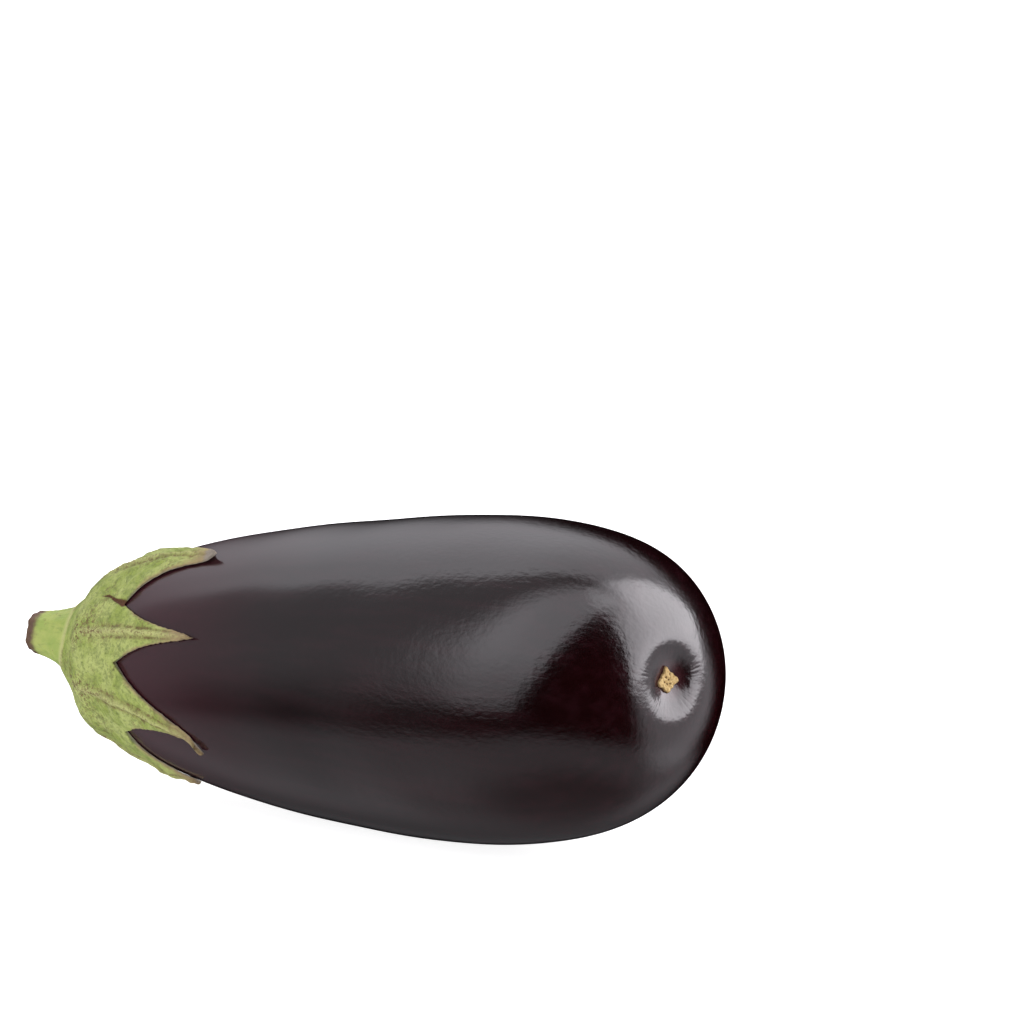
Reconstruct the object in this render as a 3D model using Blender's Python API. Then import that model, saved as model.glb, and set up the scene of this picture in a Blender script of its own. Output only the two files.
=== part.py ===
"""An eggplant lying on a table: fruit, leafy calyx cap, cut stem and blossom scar.

Metres, +Z up. The fruit lies along X, its stem towards -X and its blossom end towards
+X. The origin is the middle of the small flat spot that the fruit rests on.
"""

import bmesh
import bpy
import numpy as np

# --- driving dimensions -------------------------------------------------------
BODY_LENGTH = 0.215  # straightened fruit, stem pole to blossom pole
BODY_RADIUS = 0.0446  # before SWELL
SWELL = (0.21, 0.195, -0.04, 0.21, 0.165)  # radius gained, by powers of the station
OVAL = (0.024, 61.0)  # two-sided out-of-round: share of the radius, angle of its crest
LOBED = (0.0247, 20.7)  # three-sided out-of-round
SIDE_BEND = -32.5  # degrees over the whole length, towards -Y
UP_BEND = 9.8  # degrees over the whole length, towards +Z
NECK_SWAY = 0.0083  # how far the stem end swings back towards +Y
NOSE_UP = 3.5  # degrees that the blossom end is raised
SEAT = (0.0112, -0.0030, -0.0454)  # rest spot, from the middle of the body
NAVEL_DEPTH = 0.004  # dimple at the blossom end
NAVEL_RADIUS = 0.0075  # where the dimple has faded to a third

GAP = 0.0004  # clearance between touching pieces

COLLAR_OUT = 0.0065  # collar, outside the stem pole along the stem
COLLAR_RISE = 0.0012  # and above it
COLLAR_RADIUS = 0.0100
COLLAR_NORMAL = (-0.87, -0.44, 0.22)  # the stem leaves the cap a little askew
FLARE = 0.7  # how far the cap runs back for each step outwards as it leaves the collar
FLARE_PULL = 0.8  # how long it keeps that slope, as a share of the way to the shoulder
SHOULDER_REACH = 0.019  # skin distance from the stem pole where the cap follows the skin
NOTCH_REACH = 0.0420  # skin distance to the notches between the lobes
ROOT_THICKNESS = 0.0013
SHOULDER_SWELL = 0.0029  # extra thickness of the fleshy ring round the collar
SHOULDER_SWELL_AT = 0.022  # its crest, as skin distance from the stem pole
SHOULDER_SWELL_SPREAD = 0.010
SHOULDER_SIDE = (0.5, 235.0)  # share by which one side swells more, and its angle
TIP_THICKNESS = 0.0009
TIP_HALF_ANGLE = 0.5  # half of a lobe's blunt tip, in degrees round the fruit

# Each lobe: root from, root to, tip (degrees round the fruit from +Y over +Z), the
# tip's skin distance from the stem pole, and how far the tip hooks sideways.
LOBES = (
    (75.0, 141.0, 117.0, 0.0745, 0.0),
    (141.0, 175.5, 160.0, 0.0780, 0.0),
    (175.5, 220.0, 207.0, 0.0778, 6.0),
    (220.0, 278.0, 241.0, 0.0670, 0.0),
    (278.0, 350.0, 312.0, 0.0740, -4.0),
    (350.0, 435.0, 396.0, 0.0760, 4.0),
)

STEM_DIRECTION = (-0.995, -0.072, 0.046)
STEM_LENGTH = 0.0117
STEM_CUT_RADIUS = 0.0066
STEM_WAIST = 0.06  # share by which it draws in halfway between collar and cut

SCAR_RADIUS = 0.0035
SCAR_THICKNESS = 0.0011
SCAR_EDGE = 0.3  # thickness left at its rim, as a share

# Each lobe narrows fast at first and then evenly, so that its sides are hollow.
LOBE_TAPER = (0.55, 4)  # share of the width lost fast, and the power it is lost by
TIP_LEAN_POWER = 1.2  # how late a lobe leans over to its tip
HOOK_POWER = 8  # how close to the tip the hook is

# colour and roughness of each piece
FINISHES = {
    "fruit": ((0.020, 0.011, 0.016), 0.16),
    "calyx": ((0.33, 0.42, 0.13), 0.6),
    "stem": ((0.36, 0.47, 0.12), 0.55),
    "blossom_scar": ((0.60, 0.44, 0.25), 0.8),
}

# --- mesh density -------------------------------------------------------------
BODY_RINGS = 40
BODY_SIDES = 56
CAP_FACE_ROWS = 2
CAP_ROOT_ROWS = 8
CAP_LOBE_ROWS = 8
CAP_LOBE_COLUMNS = 8
STEM_SIDES = 24
STEM_ROWS = 5
SCAR_SIDES = 16


# --- the fruit's shape --------------------------------------------------------
def section(turn):
    """Place along the axis, and radius; turn runs from 0 (stem) to pi (blossom)."""
    station = -np.cos(turn)
    swell = 1 + sum(share * station**power for power, share in enumerate(SWELL, 1))
    radius = BODY_RADIUS * np.sin(turn) * swell
    navel = NAVEL_DEPTH * np.exp(-((radius / NAVEL_RADIUS) ** 2)) * (station > 0)
    return BODY_LENGTH / 2 * station - navel, radius


def bent(along, across, degrees):
    """Carries a straight rod onto an arc that turns by so many degrees in all."""
    curve = np.radians(degrees) / BODY_LENGTH
    arm = 1 / curve - across
    return arm * np.sin(curve * along), 1 / curve - arm * np.cos(curve * along)


def settled(x, y, z):
    """Bends the straightened body, tips it and sets its rest spot on the origin."""
    sway = NECK_SWAY * np.clip(-2 * x / BODY_LENGTH, 0, 1) ** 3
    x, y = bent(x, y + sway, SIDE_BEND)
    x, z = bent(x, z, UP_BEND)
    tip = np.radians(NOSE_UP)
    x, z = np.cos(tip) * x - np.sin(tip) * z, np.sin(tip) * x + np.cos(tip) * z
    return np.stack([x - SEAT[0], y - SEAT[1], z - SEAT[2]], axis=-1)


def skin(turn, angle, lift=0.0):
    """Points on the skin, or lifted off it; angle is in degrees from +Y over +Z."""
    step = 1e-4
    ahead, behind = section(turn + step), section(turn - step)
    along, across = ahead[0] - behind[0], ahead[1] - behind[1]
    size = np.hypot(along, across)
    x, radius = section(turn)
    oval = OVAL[0] * np.cos(np.radians(2 * (angle - OVAL[1])))
    lobed = LOBED[0] * np.cos(np.radians(3 * (angle - LOBED[1]))) * np.sin(turn)
    radius = radius * (1 + oval + lobed) + lift * along / size
    y = radius * np.cos(np.radians(angle))
    z = radius * np.sin(np.radians(angle))
    return settled(x - lift * across / size, y, z)


def turn_at(reach):
    """The turn that lies at this skin distance from the stem pole."""
    turns = np.linspace(0, np.pi, 721)
    x, radius = section(turns)
    steps = np.hypot(np.diff(x), np.diff(radius))
    return np.interp(reach, np.concatenate([[0], np.cumsum(steps)]), turns)


# --- building blocks ----------------------------------------------------------
def material(name, colour, roughness):
    """A Principled material of one colour."""
    made = bpy.data.materials.new(name)
    made.use_nodes = True
    shader = made.node_tree.nodes["Principled BSDF"]
    shader.inputs["Base Color"].default_value = (*colour, 1)
    shader.inputs["Roughness"].default_value = roughness
    shader.inputs["Metallic"].default_value = 0
    return made


def finished(name, mesh):
    """Turns a closed bmesh outwards and makes it a smooth-shaded object."""
    bmesh.ops.recalc_face_normals(mesh, faces=mesh.faces)
    data = bpy.data.meshes.new(name)
    mesh.to_mesh(data)
    mesh.free()
    data.shade_smooth()
    data.set_sharp_from_angle(angle=np.radians(35))
    data.materials.append(material(name, *FINISHES[name]))
    made = bpy.data.objects.new(name, data)
    bpy.context.scene.collection.objects.link(made)
    return made


def skinned(start, rings, end):
    """A closed bmesh from a first point, rings of points and a last point."""
    mesh = bmesh.new()
    first = mesh.verts.new(start)
    last = mesh.verts.new(end)
    loops = [[mesh.verts.new(point) for point in ring] for ring in rings]
    for lower, upper in zip(loops, loops[1:]):
        for side in range(len(lower)):
            far = (side + 1) % len(lower)
            mesh.faces.new((lower[side], lower[far], upper[far], upper[side]))
    for side in range(len(loops[0])):
        far = (side + 1) % len(loops[0])
        mesh.faces.new((first, loops[0][far], loops[0][side]))
        mesh.faces.new((last, loops[-1][side], loops[-1][far]))
    return mesh


def around(sides):
    """Angles in degrees, once round."""
    return np.arange(sides) * 360 / sides


# --- the collar, shared by the cap and the stem -------------------------------
def unit(vector):
    return np.asarray(vector) / np.linalg.norm(vector)


def ring_on(centre, normal, radius, angle):
    """Points of a circle whose plane has this normal; angle runs from +Y over +Z."""
    up = np.array([0.0, 0.0, 1.0])
    up = unit(up - np.dot(up, normal) * normal)
    side = np.cross(normal, up)
    angle = np.radians(np.asarray(angle))[..., None]
    return centre + radius * (np.cos(angle) * side + np.sin(angle) * up)


def collar():
    """Centre of the collar's face, and its normal, which points out of the cap."""
    centre = skin(0.0, 0.0) + COLLAR_OUT * unit(STEM_DIRECTION)
    return centre + np.array([0, 0, COLLAR_RISE]), unit(COLLAR_NORMAL)


# --- the pieces ---------------------------------------------------------------
def make_fruit():
    """The swollen berry, with a navel at one end and a small flat spot below."""
    turns = np.linspace(0, np.pi, BODY_RINGS + 1)
    angles = around(BODY_SIDES)
    rings = [skin(turn, angles) for turn in turns[1:-1]]
    mesh = skinned(skin(turns[0], 0.0), rings, skin(turns[-1], 0.0))
    everything = mesh.verts[:] + mesh.edges[:] + mesh.faces[:]
    cut = bmesh.ops.bisect_plane(
        mesh, geom=everything, plane_co=(0, 0, 0), plane_no=(0, 0, -1), clear_outer=True
    )
    rim = [part for part in cut["geom_cut"] if isinstance(part, bmesh.types.BMEdge)]
    bmesh.ops.contextual_create(mesh, geom=rim)
    return finished("fruit", mesh)


def lobe_grid(lobe):
    """Reach and angle over one lobe: rows from the stem pole out, columns across."""
    root_from, root_to, tip, reach, hook = lobe
    across = np.linspace(-1, 1, CAP_LOBE_COLUMNS + 1)
    middle, half = (root_from + root_to) / 2, (root_to - root_from) / 2
    face = np.linspace(0, COLLAR_RADIUS, CAP_FACE_ROWS + 1)[:-1]
    flank = np.linspace(COLLAR_RADIUS, NOTCH_REACH, CAP_ROOT_ROWS - CAP_FACE_ROWS + 1)
    root = np.append(face, flank)
    share = np.linspace(0, 1, CAP_LOBE_ROWS + 1)[1:]
    centre = middle + (tip - middle) * share**TIP_LEAN_POWER + hook * share**HOOK_POWER
    fast, power = LOBE_TAPER
    taper = fast * (1 - share) ** power + (1 - fast) * (1 - share)
    width = half * taper + TIP_HALF_ANGLE * share
    centres = np.concatenate([np.full(len(root), middle), centre])
    widths = np.concatenate([np.full(len(root), half), width])
    reaches = np.concatenate([root, NOTCH_REACH + (reach - NOTCH_REACH) * share])
    shares = np.concatenate([np.zeros(len(root)), share])
    angle = centres[:, None] + widths[:, None] * across
    return np.broadcast_to(reaches[:, None], angle.shape), angle, shares[:, None]


def cap_lift(reach, angle, share):
    """Height of the cap's outer face over the skin."""
    uneven = 1 + SHOULDER_SIDE[0] * np.cos(np.radians(angle - SHOULDER_SIDE[1]))
    swell = np.exp(-(((reach - SHOULDER_SWELL_AT) / SHOULDER_SWELL_SPREAD) ** 2))
    leaf = ROOT_THICKNESS + (TIP_THICKNESS - ROOT_THICKNESS) * share
    return GAP + leaf + SHOULDER_SWELL * uneven * swell


def eased(t, start, leave, end, arrive):
    """A cubic curve from start to end that leaves and arrives with the given slopes."""
    out = (2 * t**3 - 3 * t**2 + 1) * start + (t**3 - 2 * t**2 + t) * leave
    return out + (3 * t**2 - 2 * t**3) * end + (t**3 - t**2) * arrive


def cap_outside(reach, angle, share):
    """The cap's outer face: it leaves the collar's rim and comes to lie on the skin."""
    lying = skin(turn_at(reach), angle, cap_lift(reach, angle, share))
    centre, normal = collar()
    step, short = 0.001, SHOULDER_REACH - 0.001
    landing = skin(turn_at(SHOULDER_REACH), angle, cap_lift(SHOULDER_REACH, angle, 0))
    before = skin(turn_at(short), angle, cap_lift(short, angle, 0))
    rim = ring_on(centre, normal, COLLAR_RADIUS, angle)
    outward = (rim - centre) / COLLAR_RADIUS
    span = SHOULDER_REACH - COLLAR_RADIUS
    t = np.clip((reach - COLLAR_RADIUS) / span, 0, 1)[..., None]
    leave = (outward - FLARE * normal) * span * FLARE_PULL
    arrive = (landing - before) / step * span
    flare = eased(t, rim, leave, landing, arrive)
    disc = centre + outward * np.minimum(reach, COLLAR_RADIUS)[..., None]
    on_disc = (reach < COLLAR_RADIUS)[..., None]
    on_skin = (reach >= SHOULDER_REACH)[..., None]
    return np.where(on_disc, disc, np.where(on_skin, lying, flare))


def add_lobe(mesh, inside, outside):
    """One lobe's two faces and the rim that joins them, as loose faces to be welded."""
    rows, columns = inside.shape[:2]
    lower = [[mesh.verts.new(point) for point in row] for row in inside]
    upper = [[mesh.verts.new(point) for point in row] for row in outside]
    for row in range(rows - 1):
        for column in range(columns - 1):
            for sheet in (lower, upper):
                near, far = sheet[row], sheet[row + 1]
                mesh.faces.new((near[column], near[column + 1], far[column + 1], far[column]))
    notch, tip = CAP_ROOT_ROWS, rows - 1
    edge = [(row, 0) for row in range(notch, tip)]
    edge += [(tip, column) for column in range(columns)]
    edge += [(row, columns - 1) for row in range(tip - 1, notch - 1, -1)]
    for (a, b), (c, d) in zip(edge, edge[1:]):
        mesh.faces.new((lower[a][b], lower[c][d], upper[c][d], upper[a][b]))


def make_calyx():
    """The green cap: one thick leafy shell whose lobes are welded along their roots."""
    mesh = bmesh.new()
    for lobe in LOBES:
        reach, angle, share = lobe_grid(lobe)
        inside = skin(turn_at(reach), angle, GAP)
        add_lobe(mesh, inside, cap_outside(reach, angle, share))
    bmesh.ops.remove_doubles(mesh, verts=mesh.verts, dist=1e-6)
    return finished("calyx", mesh)


def make_stem():
    """The stump of the stalk: it grows out of the collar and ends in a straight cut."""
    centre, normal = collar()
    direction = unit(STEM_DIRECTION)
    angles = around(STEM_SIDES)
    base, top = centre + GAP * normal, centre + STEM_LENGTH * direction
    foot = ring_on(base, normal, COLLAR_RADIUS, angles) - base
    cut = ring_on(top, direction, STEM_CUT_RADIUS, angles) - top
    rings = []
    for share in np.linspace(0, 1, STEM_ROWS + 1):
        waist = 1 - STEM_WAIST * np.sin(np.pi * share)
        across = (foot + (cut - foot) * share) * waist
        rings.append(base + (top - base) * share + across)
    return finished("stem", skinned(base, rings, top))


def make_scar():
    """The corky plug where the flower dropped off, on the floor of the navel."""
    angles = around(SCAR_SIDES)
    shares = np.sin(np.radians([20, 45, 70, 90]))
    nose = np.linspace(np.pi - 0.3, np.pi, 400)
    turns = np.interp(-SCAR_RADIUS * shares, -section(nose)[1], nose)
    lifts = GAP + SCAR_THICKNESS * np.maximum(np.sqrt(1 - shares**2), SCAR_EDGE)
    rings = [skin(turn, angles, GAP) for turn in turns]
    rings += [skin(turn, angles, lift) for turn, lift in zip(turns[::-1], lifts[::-1])]
    start = skin(np.pi, 0.0, GAP)
    end = skin(np.pi, 0.0, GAP + SCAR_THICKNESS)
    return finished("blossom_scar", skinned(start, rings, end))


def clear_scene():
    for leftover in list(bpy.data.objects):
        bpy.data.objects.remove(leftover, do_unlink=True)


clear_scene()
make_fruit()
make_calyx()
make_stem()
make_scar()
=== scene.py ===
# %% [markdown]
# # An eggplant in four pieces
# A whole eggplant lies on its side: a glossy fruit, a leafy green cap, the stump of the stalk and
# a small corky scar where the flower dropped off. The design and the places of all four come
# from a fixed frame, so the first step is to load it and to note how big the object is. Lengths
# below are in metres and the angles in the tables of sizes in degrees.

# %% Load the frame
from collections import namedtuple

import bmesh
import bpy
import numpy as np
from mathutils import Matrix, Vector


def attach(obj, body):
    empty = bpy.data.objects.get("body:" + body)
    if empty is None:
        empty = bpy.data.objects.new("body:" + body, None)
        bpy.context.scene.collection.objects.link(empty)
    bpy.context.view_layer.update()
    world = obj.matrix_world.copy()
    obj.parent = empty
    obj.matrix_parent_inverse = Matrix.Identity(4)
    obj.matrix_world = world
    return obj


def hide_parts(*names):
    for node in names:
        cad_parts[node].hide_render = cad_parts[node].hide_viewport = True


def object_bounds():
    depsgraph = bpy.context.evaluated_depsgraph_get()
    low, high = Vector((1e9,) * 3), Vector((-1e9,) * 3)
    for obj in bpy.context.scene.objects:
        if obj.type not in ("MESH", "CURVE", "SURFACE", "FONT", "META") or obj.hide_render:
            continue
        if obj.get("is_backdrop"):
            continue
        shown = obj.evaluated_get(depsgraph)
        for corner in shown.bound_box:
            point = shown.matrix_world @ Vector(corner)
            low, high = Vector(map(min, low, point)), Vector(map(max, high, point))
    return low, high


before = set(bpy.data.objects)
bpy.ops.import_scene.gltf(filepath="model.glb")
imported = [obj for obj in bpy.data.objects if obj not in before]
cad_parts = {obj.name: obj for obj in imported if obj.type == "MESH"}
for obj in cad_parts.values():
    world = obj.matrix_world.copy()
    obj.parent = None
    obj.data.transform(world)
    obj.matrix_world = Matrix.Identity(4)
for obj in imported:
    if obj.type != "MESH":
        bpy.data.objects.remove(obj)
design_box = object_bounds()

print("pieces in the design:", sorted(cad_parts))
print("design size in mm:", [round(1000 * side, 1) for side in design_box[1] - design_box[0]])

# %% [markdown]
# ## The body's shape
# A fruit like this is almost a body of revolution, so it could be lathed and then bent by hand.
# Worked out as a function of two numbers it stays exact and easy to change: `turn` runs from the
# stem (0) to the blossom end (pi), and `angle` runs once round it. The section gives a radius
# for each turn, two gentle bends lay it down, and a last step sets its rest spot on the origin.

# %% Sizes of the body
BODY_LENGTH = 0.215
BODY_RADIUS = 0.0446
SWELL = (0.21, 0.195, -0.04, 0.21, 0.165)
OVAL, OVAL_CREST = 0.024, 61.0
LOBED, LOBED_CREST = 0.0247, 20.7
SIDE_BEND, UP_BEND, NOSE_UP = -32.5, 9.8, 3.5
NECK_SWAY = 0.0083
SEAT = np.array([0.0112, -0.0030, -0.0454])
NAVEL_DEPTH, NAVEL_RADIUS = 0.0042, 0.0076
GAP = 0.0004
MM = 0.001


# %% Section, bends and skin
def section(turn):
    """Place along the axis and radius. The radius is a sine swollen by a polynomial of the
    station, which runs from -1 to 1; a bell-shaped navel pushes the blossom end inwards."""
    station = -np.cos(turn)
    swell = 1 + sum(share * station**power for power, share in enumerate(SWELL, 1))
    radius = BODY_RADIUS * np.sin(turn) * swell
    navel = NAVEL_DEPTH * np.exp(-((radius / NAVEL_RADIUS) ** 2)) * (station > 0)
    return BODY_LENGTH / 2 * station - navel, radius


def bent(along, across, degrees):
    """Lays a straight rod on a circle's arc: its length stays, and it turns by `degrees`."""
    curve = np.radians(degrees) / BODY_LENGTH
    arm = 1 / curve - across
    return arm * np.sin(curve * along), 1 / curve - arm * np.cos(curve * along)


def settled(x, y, z):
    """Sways the neck by a cube, bends the body sideways and up, tips it and seats it."""
    sway = NECK_SWAY * np.clip(-2 * x / BODY_LENGTH, 0, 1) ** 3
    x, y = bent(x, y + sway, SIDE_BEND)
    x, z = bent(x, z, UP_BEND)
    tip = np.radians(NOSE_UP)
    x, z = np.cos(tip) * x - np.sin(tip) * z, np.sin(tip) * x + np.cos(tip) * z
    return np.stack([x, y, z], axis=-1) - SEAT


def skin(turn, angle, lift=0.0):
    """Point on the skin, moved outwards by `lift` at right angles to the section. The round
    section is made a little oval and three-sided; angle is in degrees from +Y over +Z."""
    step = 1e-4
    ahead, behind = section(turn + step), section(turn - step)
    along, across = ahead[0] - behind[0], ahead[1] - behind[1]
    size = np.hypot(along, across)
    x, radius = section(turn)
    oval = OVAL * np.cos(np.radians(2 * (angle - OVAL_CREST)))
    lobed = LOBED * np.cos(np.radians(3 * (angle - LOBED_CREST))) * np.sin(turn)
    radius = radius * (1 + oval + lobed) + lift * along / size
    y = radius * np.cos(np.radians(angle))
    z = radius * np.sin(np.radians(angle))
    return settled(x - lift * across / size, y, z)


# a table of the distance over the skin, fine enough to be read both ways
TURNS = np.linspace(0, np.pi, 1441)
REACHES = np.concatenate([[0], np.cumsum(np.hypot(*np.diff(section(TURNS))))])


def turn_at(reach):
    """The turn that lies at this distance over the skin from the stem pole."""
    return np.interp(reach, REACHES, TURNS)


print("over the skin from pole to pole:", round(1000 * REACHES[-1], 1), "mm")

# %% [markdown]
# ## From a grid of points to a mesh
# Every piece here is one or more grids of points. One helper numbers a grid's quads, one puts
# points and quads into a mesh and merges the points that coincide (poles and seams), and one
# gives a smooth random field for all that is uneven on something that grew.


# %% Mesh helpers
MERGE_WITHIN = 2e-6


def quads(rows, columns, start=0, closed=True):
    """Quads between the rows of a grid whose points are numbered row by row from `start`.
    A closed grid has one more column of quads, from its last point back to its first."""
    index = start + np.arange(rows * columns).reshape(rows, columns)
    if closed:
        index = np.concatenate([index, index[:, :1]], axis=1)
    corners = [index[:-1, :-1], index[:-1, 1:], index[1:, 1:], index[1:, :-1]]
    return np.stack(corners, axis=-1).reshape(-1, 4)


def ripple(points, size, seed):
    """Smooth random field: the mean of nine sine waves about `size` long that run in random
    directions, scaled so that most values lie between -1 and 1."""
    draw = np.random.default_rng(seed)
    ways = draw.normal(size=(3, 9))
    ways *= draw.uniform(0.7, 1.4, 9) * 2 * np.pi / size / np.linalg.norm(ways, axis=0)
    return np.sin(points @ ways + draw.uniform(0, 2 * np.pi, 9)).mean(axis=-1) * 2.2


def ripples(points, waves):
    """Sum of ripples, each given by its size, its height and its seed."""
    return sum(height * ripple(points, size, seed) for size, height, seed in waves)


def smooth(value, low, high):
    """0 below `low`, 1 above `high` and the curve 3t^2 - 2t^3 between them."""
    t = np.clip((value - low) / (high - low), 0, 1)
    return t * t * (3 - 2 * t)


def piece(name, points, faces, sharp=60, **fields):
    """An object at the origin with these points and faces, coinciding points merged, faces
    turned outwards, and one number for each point under each field's name."""
    mesh = bpy.data.meshes.new(name)
    mesh.from_pydata(points.reshape(-1, 3), [], faces)
    for field, values in fields.items():
        layer = mesh.attributes.new(field, "FLOAT", "POINT")
        layer.data.foreach_set("value", np.asarray(values, np.float32).ravel())
    shape = bmesh.new()
    shape.from_mesh(mesh)
    bmesh.ops.remove_doubles(shape, verts=shape.verts, dist=MERGE_WITHIN)
    bmesh.ops.recalc_face_normals(shape, faces=shape.faces)
    open_edges = sum(not edge.is_manifold for edge in shape.edges)
    volume = shape.calc_volume(signed=True)
    shape.to_mesh(mesh)
    shape.free()
    mesh.shade_smooth()
    mesh.set_sharp_from_angle(angle=np.radians(sharp))
    made = bpy.data.objects.new(name, mesh)
    bpy.context.scene.collection.objects.link(made)
    mesh.calc_loop_triangles()
    print(f"{name}: {len(mesh.loop_triangles)} triangles, {open_edges} open edges,"
          f" {1e6 * volume:.1f} cm3")
    return made


# %% [markdown]
# ## The fruit
# The skin is taut and nearly perfect, but a perfect surface looks like plastic. Three things
# make it a fruit: slow waves a fraction of a millimetre high, which bend the reflections; fine
# pleats that run into the navel; and a spot underneath where the flesh flattens under its own
# weight. The rows crowd together towards the blossom end, where the pleats need them. Two
# numbers are stored on each point for the finish: how far it lies over the skin from the stem,
# and near the blossom end its distance from the axis.

# %% Build the fruit
FRUIT_ROWS, FRUIT_COLUMNS = 270, 352
ROW_CROWDING = 1.7
SLOW_WAVES = ((0.085, 0.00028, 3), (0.040, 0.00013, 4))
PLEATS = ((37, 0.000040, 0.0), (61, 0.000028, 40.0))
PLEAT_SHARPNESS = 2.5
LIP_INNER, LIP_OUTER = (0.0050, 0.0080), (0.0085, 0.0130)
SOFT_SPOT = 0.0003


def pleated(turn, angle):
    """Depth of the navel's pleats: narrow grooves where a cosine round the fruit peaks,
    unevenly spaced, strongest on the navel's lip and fading on both sides of it."""
    radius = section(turn)[1]
    blossom = turn > np.pi / 2
    lip = smooth(radius, *LIP_INNER) * (1 - smooth(radius, *LIP_OUTER)) * blossom
    uneven = angle + 6 * np.sin(np.radians(3 * angle + 50)) + 3 * np.sin(np.radians(7 * angle))
    depth = 0.0
    for count, height, start in PLEATS:
        crest = 0.5 + 0.5 * np.cos(np.radians(count * (uneven + start)))
        fading = 0.5 + 0.5 * np.sin(np.radians(5 * angle + 9 * start))
        fading = fading * (0.6 + 0.4 * np.sin(np.radians(11 * angle + 31 * start)))
        depth = depth + height * fading * crest**PLEAT_SHARPNESS
    return depth * lip


def fruit_surface(turn, angle):
    """The skin with its slow waves and pleats. The height above the table is
    (z + root(z^2 + soft^2)) / 2, which is z well above it and never below it."""
    waves = ripples(skin(turn, angle), SLOW_WAVES)
    fading = smooth(np.sin(turn), 0.05, 0.4)
    points = skin(turn, angle, waves * fading - pleated(turn, angle))
    points[..., 2] = (points[..., 2] + np.hypot(points[..., 2], SOFT_SPOT)) / 2
    return points


turn = np.pi * (1 - (1 - np.linspace(0, 1, FRUIT_ROWS)) ** ROW_CROWDING)[:, None]
angle = (np.arange(FRUIT_COLUMNS) * 360 / FRUIT_COLUMNS)[None, :]
from_axis = np.where(turn > np.pi / 2, section(turn)[1], 1.0)
grid = (FRUIT_ROWS, FRUIT_COLUMNS)
fruit = piece(
    "fruit_skin",
    fruit_surface(turn, angle),
    quads(*grid),
    reach=np.broadcast_to(np.interp(turn, TURNS, REACHES), grid),
    navel=np.broadcast_to(from_axis, grid),
)
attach(fruit, "root")
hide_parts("fruit")

# %% [markdown]
# ## The collar
# Cap and stem meet at a round collar. It faces a little sideways, because the stalk grew
# askew. Both pieces take their rings from the same helper, so they always fit.

# %% Collar
COLLAR_OUT, COLLAR_RISE, COLLAR_RADIUS = 0.0065, 0.0012, 0.0100
COLLAR_NORMAL = (-0.87, -0.44, 0.22)
STEM_DIRECTION = (-0.995, -0.072, 0.046)


def unit(vector):
    """The vector divided by its length."""
    return np.asarray(vector) / np.linalg.norm(vector)


def ring_on(centre, normal, radius, angle):
    """Points of a circle round `normal`; the angle runs from the side over the top."""
    up = np.array([0.0, 0.0, 1.0])
    up = unit(up - np.dot(up, normal) * normal)
    side = np.cross(normal, up)
    angle = np.radians(np.asarray(angle))[..., None]
    return centre + np.asarray(radius)[..., None] * (np.cos(angle) * side + np.sin(angle) * up)


collar_normal = unit(COLLAR_NORMAL)
collar_centre = skin(0.0, 0.0) + COLLAR_OUT * unit(STEM_DIRECTION) + np.array([0, 0, COLLAR_RISE])
print("collar centre in mm:", np.round(1000 * collar_centre, 1))

# %% [markdown]
# ## The leafy cap
# The calyx is what is left of the flower: a fleshy ring round the stem that splits into pointed
# lobes lying on the skin. It could be cut from a sphere, but then its edges would follow the
# cutter and not the leaf. Here each lobe is a strip with its own rows and columns, so its
# midrib, wrinkles and worn edge follow it to its tip. A strip is described by how far it
# reaches over the skin, its angle round the fruit, and its share of the way to the tip.

# %% Sizes of the cap
FLARE, FLARE_PULL = 0.7, 0.8
SHOULDER_REACH, NOTCH_REACH = 0.019, 0.0420
ROOT_THICKNESS, TIP_THICKNESS = 0.0013, 0.0009
SHOULDER_SWELL, SHOULDER_SWELL_AT, SHOULDER_SWELL_SPREAD = 0.0029, 0.022, 0.010
SHOULDER_SIDE_SHARE, SHOULDER_SIDE_ANGLE = 0.5, 235.0
FACE_ROWS, FLANK_ROWS, LOBE_ROWS, LOBE_COLUMNS = 4, 46, 66, 48
TAPER_SHARE, TAPER_POWER, LEAN_POWER, HOOK_POWER = 0.55, 4, 1.2, 8
BLUNT_POWER, BLUNT_END = 12, 0.08

# Angles round the fruit of the root's two ends and of the tip, the tip's reach, how many
# degrees it hooks and how wide it is, and how far it curls up over its last stretch.
Lobe = namedtuple("Lobe", "root_from root_to tip reach hook tip_width curl curl_length")
LOBES = (
    Lobe(75.0, 141.0, 117.0, 0.0758, 0.0, 3.20, 24.0, 0.0060),
    Lobe(141.0, 175.5, 160.0, 0.0780, 0.0, 0.55, 10.0, 0.0040),
    Lobe(175.5, 220.0, 207.0, 0.0778, 6.0, 0.40, 8.0, 0.0040),
    Lobe(220.0, 278.0, 241.0, 0.0670, 0.0, 0.60, 2.0, 0.0040),
    Lobe(278.0, 350.0, 312.0, 0.0740, -4.0, 0.80, 18.0, 0.0050),
    Lobe(350.0, 435.0, 396.0, 0.0760, 4.0, 0.80, 30.0, 0.0050),
)


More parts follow.
